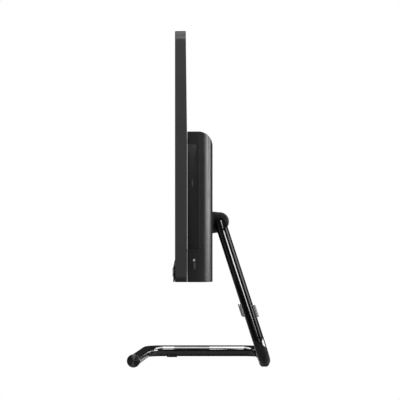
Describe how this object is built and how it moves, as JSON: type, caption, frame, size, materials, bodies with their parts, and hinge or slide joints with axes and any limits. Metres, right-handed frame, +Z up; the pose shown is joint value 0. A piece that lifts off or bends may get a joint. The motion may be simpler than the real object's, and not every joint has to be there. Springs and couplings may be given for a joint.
{
  "type": "all in one pc",
  "caption": "Slim flat-screen computer whose rear housing tilts on a bent-tube stand, with a tray disc drive, rear and side sockets and a push power button.",
  "frame": {"origin": "on the floor, under the middle of the whole object's bounding box", "axes": "+Z up; -Y is the way the screen faces; +X is the side with the disc drive and power button, along the object's width"},
  "size_m": [0.488, 0.1875, 0.426],
  "materials": {
    "black_shell": "satin, fine moulded texture",
    "dark_plastic": "satin",
    "button_plastic": "satin",
    "gloss_plastic_black": "high gloss",
    "gloss_tube": "high-gloss black enamel",
    "rubber_black": "matte",
    "screen_glass": "dark, faintly hazed",
    "panel_module": "satin",
    "steel": "plated",
    "aluminium": "satin",
    "copper": "bright copper",
    "circuit_board": "satin solder mask",
    "lamp_lens": "clear, lit softly",
    "clip_plastic": "translucent grey"
  },
  "bodies": {
    "stand": {"stand_tube": "gloss_tube", "tube_end_cap": "gloss_plastic_black", "hinge_retainer": "steel", "cable_clip": "clip_plastic", "foot_pad_front": "rubber_black", "foot_pad_rear_left": "rubber_black", "foot_pad_rear_right": "rubber_black"},
    "head": {"panel_shell": "black_shell", "rear_housing": "black_shell", "hinge_bracket": "black_shell", "front_bezel": "dark_plastic", "speaker_left": "dark_plastic", "speaker_right": "dark_plastic", "fan_shroud": "dark_plastic", "dc_jack": "dark_plastic", "audio_jacks": "dark_plastic", "hinge_bush": "dark_plastic", "hinge_cap": "dark_plastic", "speaker_bar": "gloss_plastic_black", "webcam_module": "gloss_plastic_black", "lcd_glass": "screen_glass", "lcd_module": "panel_module", "chassis_plate": "steel", "coin_cell": "steel", "drive_bracket": "steel", "optical_drive_case": "steel", "ethernet_port": "steel", "hdmi_port": "steel", "usb_ports_rear": "steel", "usb_ports_side": "steel", "card_reader": "steel", "hinge_backplate": "steel", "hinge_screw_1": "steel", "hinge_screw_2": "steel", "hinge_screw_3": "steel", "hinge_screw_4": "steel", "housing_screw_1": "steel", "housing_screw_2": "steel", "housing_screw_3": "steel", "housing_screw_4": "steel", "fin_stack": "aluminium", "hard_drive": "aluminium", "cpu_heatsink": "copper", "heat_pipe": "copper", "panel_board": "circuit_board", "motherboard": "circuit_board", "memory_module": "circuit_board", "wireless_card": "circuit_board", "side_io_board": "circuit_board", "power_board": "circuit_board", "power_lamp": "lamp_lens"},
    "tray": {"disc_tray": "dark_plastic", "tray_bezel": "dark_plastic", "sled_rail_lower": "steel", "sled_rail_upper": "steel"},
    "eject": {"eject_button": "dark_plastic"},
    "spindle": {"disc_spindle": "steel"},
    "sled": {"laser_sled": "dark_plastic"},
    "fan": {"fan_rotor": "dark_plastic"},
    "power": {"power_button": "button_plastic"}
  },
  "joints": [
    {"name": "head_tilt", "type": "hinge", "parent": "stand", "child": "head", "pos_m": [0, 0.0283, 0.1898], "axis": [-1, 0, 0], "range_deg": [-5, 20]},
    {"name": "tray_slide", "type": "slide", "parent": "head", "child": "tray", "axis": [1, 0, 0], "range_m": [0, 0.112]},
    {"name": "eject_press", "type": "slide", "parent": "tray", "child": "eject", "axis": [-1, 0, 0], "range_m": [0, 0.0006], "stiffness_N_per_m": 600},
    {"name": "spindle_spin", "type": "hinge", "parent": "tray", "child": "spindle", "pos_m": [0.147, -0.0085, 0.22265], "axis": [0, 1, 0], "continuous": true},
    {"name": "sled_slide", "type": "slide", "parent": "tray", "child": "sled", "axis": [-1, 0, 0], "range_m": [0, 0.025]},
    {"name": "fan_spin", "type": "hinge", "parent": "head", "child": "fan", "pos_m": [-0.16, -0.0085, 0.236], "axis": [0, 1, 0], "continuous": true},
    {"name": "power_press", "type": "slide", "parent": "head", "child": "power", "axis": [-1, 0, 0], "range_m": [0, 0.0008], "stiffness_N_per_m": 600}
  ]
}
